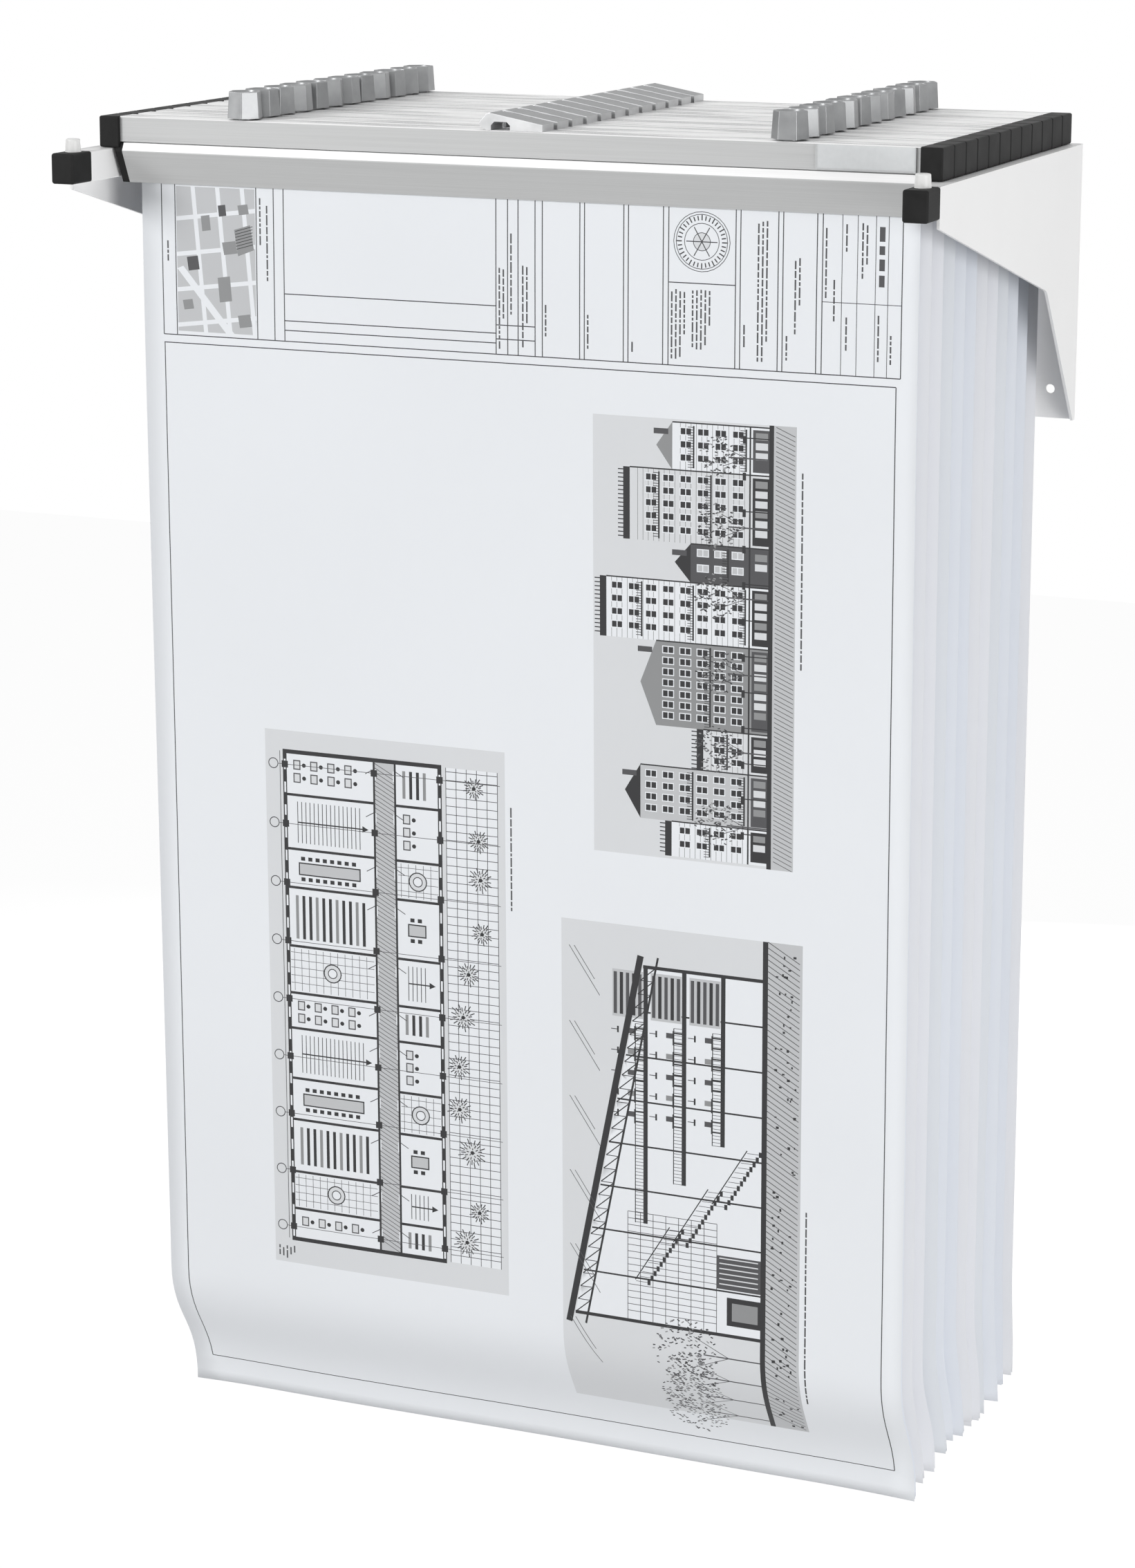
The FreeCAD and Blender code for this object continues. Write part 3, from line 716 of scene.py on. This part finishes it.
def floor_plan(draw, s0, t0, s1, t1):
    """A plan of rooms along a corridor, with a paved court and trees, on a tinted ground."""
    draw.block(s0, t0, s1, t1, "tint")
    left, right, top, foot = s0 + 16, s1 - 52, t0 + 16, t1 - 20
    corridor = left + (right - left) * 0.58
    beyond = corridor + 17
    outer_wall, inner_wall = 3.2, 1.6
    court(draw, right + 5, top, s1 - 6, foot)
    draw.block(left, top, right, foot, "paper")
    draw.block(corridor, top, beyond, foot, "pale")
    draw.hatch(corridor, top + 2, beyond, foot, 3.4, "dark", 0.5, 9.0)
    t = top
    room = 0
    while t < foot - 24:
        end = min(t + ROOM_WIDTHS[room % len(ROOM_WIDTHS)], foot)
        LEFT_ROOMS[room % len(LEFT_ROOMS)](draw, left + 2, t + 2, corridor - 2, end - 2)
        RIGHT_ROOMS[room % len(RIGHT_ROOMS)](draw, beyond + 1, t + 2, right - 2, end - 2)
        draw.line(left, end, corridor, end, 2.0, "black")
        draw.line(beyond, end, right, end, 2.0, "black")
        for s in (corridor, beyond):
            draw.block(s - 1.6, t + 7, s + 1.6, t + 15, "paper")
        draw.line(corridor, t + 7, corridor - 7, t + 11, 0.6)
        draw.line(beyond, t + 7, beyond + 7, t + 11, 0.6)
        t = end
        room += 1
    walls = ((left, outer_wall), (corridor, inner_wall), (beyond, inner_wall), (right, outer_wall))
    for s, width in walls:
        draw.line(s, top, s, foot, width, "black")
    for t in (top, foot):
        draw.line(left - outer_wall / 2, t, right + outer_wall / 2, t, outer_wall, "black")
    windows, columns = 22, 9
    for index in range(windows):
        t = top + 6 + index * (foot - top - 16) / (windows - 1)
        for s in (left, right):
            draw.block(s - 0.7, t, s + 0.7, t + 8, "paper")
    for index in range(columns):
        t = top + 10 + index * (foot - top - 20) / (columns - 1)
        draw.line(s0 + 8, t, s1 - 4, t, 0.45, "dark")
        for s in (left, corridor, right):
            draw.block(s - 2.6, t - 2.6, s + 2.6, t + 2.6, "black")
        draw.ring(s0 + 6.5, t, 4.2, 0.7, "line", "tint", 16)
    draw.line(s0 + 12, top, s0 + 12, foot, 0.5)
    draw.small_print(s0 + 3, foot + 6, t1 - 3, 5)
    draw.small_print(s1 + 4, t0 + 40, t0 + 190, 1)


# The houses in their order down the street
HOUSE_WIDTHS = (34, 52, 28, 44, 62, 30, 40)
HOUSE_HEIGHTS = (72, 104, 58, 122, 84, 48, 96)
HOUSE_WALLS = ("paper", "tint", "dark", "paper", "mid", "tint", "pale")


def house_front(draw, house, t, end, ground):
    """One house front standing on the ground line, with its roof to the left."""
    shop, storey = 14, 13
    height = HOUSE_HEIGHTS[house % len(HOUSE_HEIGHTS)]
    roof = ground - height
    wall = HOUSE_WALLS[house % len(HOUSE_WALLS)]
    draw.block(roof, t, ground, end, wall)
    if house % 2 == 0:
        gable = [(roof, t), (roof - 12, (t + end) / 2), (roof, end)]
        draw.area(gable, "black" if house % 4 else "mid")
        draw.block(roof - 14, t + 5, roof - 3, t + 9, "dark")
    else:
        draw.block(roof - 5, t, roof, end, "black")
        draw.hatch(roof - 9, t + 2, roof - 5, end - 1, 3.0, "black", 0.8)
    if wall in ("paper", "tint"):
        for course in range(int((height - shop) / 4)):
            draw.line(ground - shop - course * 4, t, ground - shop - course * 4, end, 0.4, "mid")
    bays = max(2, int((end - t - 6) / 8))
    glass = "pale" if wall == "dark" else "black"
    for floor in range(int((height - shop - 2) / storey)):
        s = ground - shop - 5 - floor * storey
        for bay in range(bays):
            b = t + 4 + bay * (end - t - 6) / bays
            draw.block(s - 8.4, b - 0.7, s + 0.7, b + 5.0, "paper")
            draw.block(s - 7.7, b, s, b + 4.3, glass)
            draw.block(s - 4.2, b, s - 3.5, b + 4.3, "paper")
        if (floor + house) % 3 == 0:
            draw.block(s + 1.4, t + 2, s + 2.6, end - 2, "black")
            draw.hatch(s - 2.4, t + 3, s + 1.4, end - 2, 1.9, "black", 0.5)
    draw.block(ground - shop + 2, t + 2, ground, end - 2, "black" if house % 2 else "dark")
    pane_step = 7
    for pane in range(int((end - t - 8) / pane_step)):
        b = t + 4 + pane * pane_step
        draw.block(ground - shop + 4, b, ground - 1, b + 5, "tint" if pane % 3 else "mid")
    draw.line(ground - shop, t, ground - shop, end, 1.2, "black")
    draw.line(roof, t, ground, t, 1.0, "black")


def street_front(draw, s0, t0, s1, t1):
    """House fronts along a street, drawn on end: the ground is at the right."""
    ground = s1 - 20
    draw.block(s0 + 14, t0, s1, t1, "tint")
    draw.block(ground, t0, s1, t1, "pale")
    draw.hatch(ground + 5, t0 + 1, s1 - 1, t1, 3.4, "dark", 0.5, 6.0)
    t = t0 + 2
    house = 0
    while t < t1 - 14:
        end = min(t + HOUSE_WIDTHS[house % len(HOUSE_WIDTHS)], t1 - 2)
        house_front(draw, house, t, end, ground)
        t = end
        house += 1
    draw.block(ground, t0, ground + 3.4, t1, "black")
    tree_step, lamp_step = 52, 26
    for index in range(int((t1 - t0) / tree_step)):
        t = t0 + 24 + index * tree_step + draw.chance.uniform(-8, 8)
        draw.tree(ground - 30, t, draw.chance.uniform(13, 18), 30)
    for index in range(int((t1 - t0) / lamp_step)):
        t = t0 + 10 + index * lamp_step
        draw.line(ground - 18, t, ground, t, 0.8, "black")
        draw.block(ground - 19.5, t - 1.5, ground - 17, t + 4, "black")
    draw.small_print(s1 + 4, t0 + 30, t1 - 60, 1)


def long_section(draw, s0, t0, s1, t1):
    """A cut through a hall with floors, stairs and a sloping roof, drawn on end."""
    ground = s1 - 30
    top, foot = t0 + 30, t1 - 84
    roof_low, roof_high = ground - 92, ground - 146
    slope = (roof_high - roof_low) / (foot - top)
    draw.block(s0, t0, s1, t1, "tint")
    section_ground(draw, ground, t0, s1, t1)
    draw.area([(ground, top), (roof_low, top), (roof_high, foot), (ground, foot)], "paper")
    glazed, bar_step, rails, rail_step = top + 190, 5.2, 8, 10
    for glazing in range(int((foot - glazed + 2) / bar_step)):
        t = glazed + glazing * bar_step
        draw.line(ground - 104, t, ground - 34, t, 0.5, "dark")
    for rail in range(rails):
        s = ground - 34 - rail * rail_step
        draw.line(s, glazed, s, foot, 0.5, "dark")
    bays = 8
    for column in range(bays + 1):
        t = top + column * (foot - top) / bays
        reach = roof_low + (roof_high - roof_low) * column / bays
        draw.line(ground, t, reach, t, 2.6 if column in (0, bays) else 1.3, "black")
    floors, storey = 3, 30
    for floor in range(floors):
        section_floor(draw, ground - storey * (floor + 1), top, top + 130 + floor * 34)
    trusses, truss_depth = 26, 10
    for truss in range(trusses):
        t = top + truss * (foot - top) / trusses
        next_t = top + (truss + 1) * (foot - top) / trusses
        roof, next_roof = roof_low + slope * (t - top), roof_low + slope * (next_t - top)
        draw.line(roof + truss_depth, t, next_roof, next_t, 0.8, "black")
        draw.line(roof + truss_depth, t, roof, t, 0.6, "black")
    overhang = 8
    for offset, width in ((-3.5, 5.0), (truss_depth, 1.6)):
        low = roof_low + offset + slope * -overhang
        high = roof_high + offset + slope * overhang
        draw.line(low, top - overhang, high, foot + overhang, width, "black")
    draw.block(ground - 34, foot - 62, ground, foot - 36, "dark")
    draw.hatch(ground - 32, foot - 60, ground - 2, foot - 38, 4.0, "tint", 0.9)
    draw.block(ground - 26, foot - 30, ground, foot - 8, "black")
    draw.block(ground - 22, foot - 26, ground - 2, foot - 12, "mid")
    trees, sky_strokes = 4, 6
    for index in range(trees):
        draw.tree(ground - 44, foot + 18 + index * 20, draw.chance.uniform(20, 27), 44)
    for index in range(sky_strokes):
        t = t0 + 20 + index * 58
        draw.line(s0 + 6, t, s0 + 30, t + 36, 0.5, "dark")
        draw.line(s0 + 10, t, s0 + 26, t + 24, 0.5, "dark")
    draw.small_print(s1 + 4, t1 - 190, t1 - 10, 1)


def section_ground(draw, ground, t0, s1, t1):
    """The cut earth under the hall, hatched and strewn with stones."""
    stones = 90
    draw.block(ground, t0, s1, t1, "pale")
    draw.hatch(ground + 4, t0, s1 - 2, t1, 4.4, "dark", 0.6, 14.0)
    for _ in range(stones):
        s, t = draw.chance.uniform(ground + 7, s1 - 5), draw.chance.uniform(t0 + 3, t1 - 5)
        stone_s, stone_t = draw.chance.uniform(1.0, 2.4), draw.chance.uniform(1.0, 2.4)
        draw.block(s, t, s + stone_s, t + stone_t, "black")
    draw.block(ground, t0, ground + 4, t1, "black")


def section_floor(draw, s, top, split):
    """One floor of the hall with its shelves, desks, lamps and a stair down."""
    shelf_count, desk_count, step_count = 5, 5, 12
    draw.block(s - 26, top + 4, s - 2, top + 40, "pale")
    for shelf in range(shelf_count):
        ink = "black" if shelf % 2 else "dark"
        draw.block(s - 25 + shelf * 4.8, top + 6, s - 22.4 + shelf * 4.8, top + 38, ink)
    for desk in range(desk_count):
        t = top + 46 + desk * 16
        draw.block(s - 9, t, s - 7.6, t + 11, "black")
        draw.block(s - 7.6, t + 1, s - 1.6, t + 2.2, "black")
        draw.block(s - 7.6, t + 8.8, s - 1.6, t + 10, "black")
        draw.block(s - 14, t + 2, s - 9, t + 6, "mid" if desk % 2 else "dark")
        draw.line(s - 27, t + 4, s - 22, t + 4, 0.6, "black")
        draw.block(s - 22.4, t + 1.5, s - 21, t + 6.5, "black")
    for step in range(step_count):
        across, along = s + 28 - step * 2.4, split + step * 4.0
        draw.block(across, along, across + 2.4, along + 4, "black")
        draw.line(across - 9, along + 2, across, along + 2, 0.4, "black")
    draw.line(s + 19, split, s - 8, split + 45, 0.8, "black")
    draw.line(s, top, s, split, 3.4, "black")
    draw.hatch(s - 8, top + 44, s, split, 2.6, "line", 0.4)
    draw.line(s - 8, top + 44, s - 8, split, 0.7, "black")


def front_drawing():
    """Everything that is drawn on the front sheet, in the order in which it is laid down."""
    draw = Drawing()
    title_strip(draw)
    draw.line(BORDER_LEFT + 1.5, BORDER_TOP, BORDER_LEFT, BORDER_FOOT)
    draw.line(BORDER_RIGHT, BORDER_TOP, BORDER_RIGHT, BORDER_FOOT)
    draw.line(BORDER_LEFT, BORDER_FOOT, BORDER_RIGHT, BORDER_FOOT)
    floor_plan(draw, 92.0, 420.0, 286.0, 842.0)
    street_front(draw, 342.0, 166.0, 508.0, 486.0)
    long_section(draw, 330.0, 540.0, 516.0, 930.0)
    return draw.shapes


def printed_sheet(name, hang):
    """The front sheet, with its drawings cut into its own surface."""
    points, edges, faces, inks = [], [], [], []

    def outline(corners):
        first = len(points)
        points.extend(Vector(c) for c in corners)
        faces.append(list(range(first, first + len(corners))))

    outline([(0, 0), (SHEET_WIDTH, 0), (SHEET_WIDTH, hang.length), (0, hang.length)])
    inks.append("paper")
    for corners, ink in front_drawing():
        turn = sum(a[0] * b[1] - b[0] * a[1] for a, b in zip(corners, corners[1:] + corners[:1]))
        outline(corners if turn > 0 else corners[::-1])
        inks.append(ink)
    for t in stops_down(hang.length, PRINTED_ROWS)[1:-1]:
        first = len(points)
        points.extend([Vector((0, t)), Vector((SHEET_WIDTH, t))])
        edges.append((first, first + 1))
    for i in range(1, SHEET_COLUMNS):
        s = SHEET_WIDTH * i / SHEET_COLUMNS
        first = len(points)
        points.extend([Vector((s, 0)), Vector((s, hang.length))])
        edges.append((first, first + 1))
    inner_triangles, closeness = 1, 1e-4
    found, _, triangles, _, _, sources = delaunay_2d_cdt(
        points, edges, faces, inner_triangles, closeness, True)
    names = list(INKS)
    topmost = [names.index(inks[max(source)]) if source else 0 for source in sources]
    corners = [hang.place(p.x, p.y) for p in found]
    facing_front = [tuple(reversed(triangle)) for triangle in triangles]
    obj = joined(name, corners, facing_front, topmost, list(INKS.values()))
    return thicken(obj, len(names))


def hang_bundles():
    """Each clamp's slab of sheets is replaced by its own loose sheets."""
    for clamp_index, clamp in enumerate(CLAMPS):
        lengths = random.Random(TRIM_SEED + clamp_index)
        bundle_trim = lengths.uniform(0.0, MOST_TRIM) if clamp_index else 0.0
        for sheet_index in range(SHEETS_IN_BUNDLE):
            on_top = clamp_index == 0 and sheet_index == 0
            length = SHEET_LENGTH - bundle_trim - (0.0 if on_top else lengths.uniform(0.5, 5.0))
            hang = Hang(clamp_index, sheet_index, length)
            name = "%s_sheet_%d" % (clamp, sheet_index + 1)
            paper = BUNDLE_PAPERS[clamp_index * PAPER_TURN % len(BUNDLE_PAPERS)]
            obj = printed_sheet(name, hang) if on_top else plain_sheet(name, hang, paper)
            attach(obj, clamp)
            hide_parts(clamp + "_sheets")


# ---------------------------------------------------------------- stage, light and camera

PLAIN_WHITE = (1.0, 1.0, 1.0, 1.0)


def white_in_view(tree, plain, white):
    """Joins the lit surface with plain white for the camera, glossy and transmission rays."""
    path = tree.nodes.new("ShaderNodeLightPath")
    seen = tree.nodes.new("ShaderNodeMath")
    seen.operation = "MAXIMUM"
    tree.links.new(path.outputs["Is Camera Ray"], seen.inputs[0])
    tree.links.new(path.outputs["Is Glossy Ray"], seen.inputs[1])
    also = tree.nodes.new("ShaderNodeMath")
    also.operation = "MAXIMUM"
    tree.links.new(seen.outputs["Value"], also.inputs[0])
    tree.links.new(path.outputs["Is Transmission Ray"], also.inputs[1])
    mix = tree.nodes.new("ShaderNodeMixShader")
    tree.links.new(also.outputs["Value"], mix.inputs["Fac"])
    tree.links.new(plain, mix.inputs[1])
    tree.links.new(white, mix.inputs[2])
    return mix.outputs["Shader"]


def lay_floor():
    """A wide pale floor below the sheets, which keeps their soft shadow."""
    half, height = 6.0, -1.5
    glow_strength, glow_share = 1.14, 0.8
    around = ((-half, -half), (half, -half), (half, half), (-half, half))
    mesh = bpy.data.meshes.new("floor")
    mesh.from_pydata([(x, y, height) for x, y in around], [], [(0, 1, 2, 3)])
    floor = bpy.data.objects.new("floor", mesh)
    bpy.context.scene.collection.objects.link(floor)
    material, tree, shader = new_material("pale floor", (0.62, 0.62, 0.62), 0.9)
    glow = tree.nodes.new("ShaderNodeEmission")
    glow.inputs["Color"].default_value = PLAIN_WHITE
    glow.inputs["Strength"].default_value = glow_strength
    shade = tree.nodes.new("ShaderNodeMixShader")
    shade.inputs["Fac"].default_value = glow_share
    tree.links.new(shader.outputs["BSDF"], shade.inputs[1])
    tree.links.new(glow.outputs["Emission"], shade.inputs[2])
    result = white_in_view(tree, shader.outputs["BSDF"], shade.outputs["Shader"])
    tree.links.new(result, tree.nodes["Material Output"].inputs["Surface"])
    mesh.materials.append(material)


def light_room():
    """A dim even room around the rack, which looks plain white."""
    world = bpy.data.worlds.new("studio")
    bpy.context.scene.world = world
    world.use_nodes = True
    tree = world.node_tree
    dim = tree.nodes["Background"]
    dim.inputs["Color"].default_value = PLAIN_WHITE
    dim.inputs["Strength"].default_value = 0.4
    bright = tree.nodes.new("ShaderNodeBackground")
    bright.inputs["Color"].default_value = PLAIN_WHITE
    bright.inputs["Strength"].default_value = 1.0
    result = white_in_view(tree, dim.outputs["Background"], bright.outputs["Background"])
    tree.links.new(result, tree.nodes["World Output"].inputs["Surface"])


def soft_light(name, place, aim, side, power):
    """A square soft lamp of a side in metres and a power in watts."""
    light = bpy.data.lights.new(name, "AREA")
    light.shape = "SQUARE"
    light.size = side
    light.energy = power
    obj = bpy.data.objects.new(name, light)
    bpy.context.scene.collection.objects.link(obj)
    obj.location = place
    obj.rotation_euler = (Vector(aim) - Vector(place)).to_track_quat("-Z", "Y").to_euler()


def set_camera():
    """Looks at the rack from the right and a little from above."""
    image_height = 2268.0
    focal_pixels = 5600.0
    axis_row = 904.0             # row of the image that the lens axis meets
    place = (1.0773, -2.8198, 0.3576)
    yaw, pitch, roll = (math.radians(a) for a in (22.43, 12.03, -0.20))
    right = Vector((math.cos(yaw), math.sin(yaw), 0.0))
    level_ahead = Vector((-math.sin(yaw), math.cos(yaw), 0.0))
    ahead = level_ahead * math.cos(pitch) - Vector((0.0, 0.0, math.sin(pitch)))
    down = ahead.cross(right)
    level = right * math.cos(roll) + down * math.sin(roll)
    drop = down * math.cos(roll) - right * math.sin(roll)
    camera = bpy.data.objects.new("camera", bpy.data.cameras.new("camera"))
    bpy.context.scene.collection.objects.link(camera)
    camera.data.sensor_width = 36.0
    camera.data.lens = focal_pixels / image_height * camera.data.sensor_width
    camera.data.shift_y = (axis_row - image_height / 2) / image_height
    turn = camera.matrix_world.to_3x3()
    for row in range(3):
        turn[row] = (level[row], -drop[row], -ahead[row])
    camera.matrix_world = turn.to_4x4()
    camera.location = place
    camera.data.clip_start = 0.05
    camera.data.clip_end = 60.0
    bpy.context.scene.camera = camera


finish_solids()
hang_bundles()
lay_floor()
light_room()
soft_light("key", (-2.6, -3.7, 1.5), (0.0, -0.3, -0.3), 1.3, 93.0)
soft_light("side", (3.4, -1.9, -0.5), (0.3, -0.2, -0.3), 2.0, 64.0)
soft_light("top", (0.3, 0.6, 3.0), (0.0, -0.2, 0.0), 1.8, 14.0)
soft_light("rear", (-0.9, 3.3, -0.6), (0.0, -0.2, -0.4), 1.6, 52.0)
set_camera()
bpy.context.scene.view_settings.view_transform = "Standard"
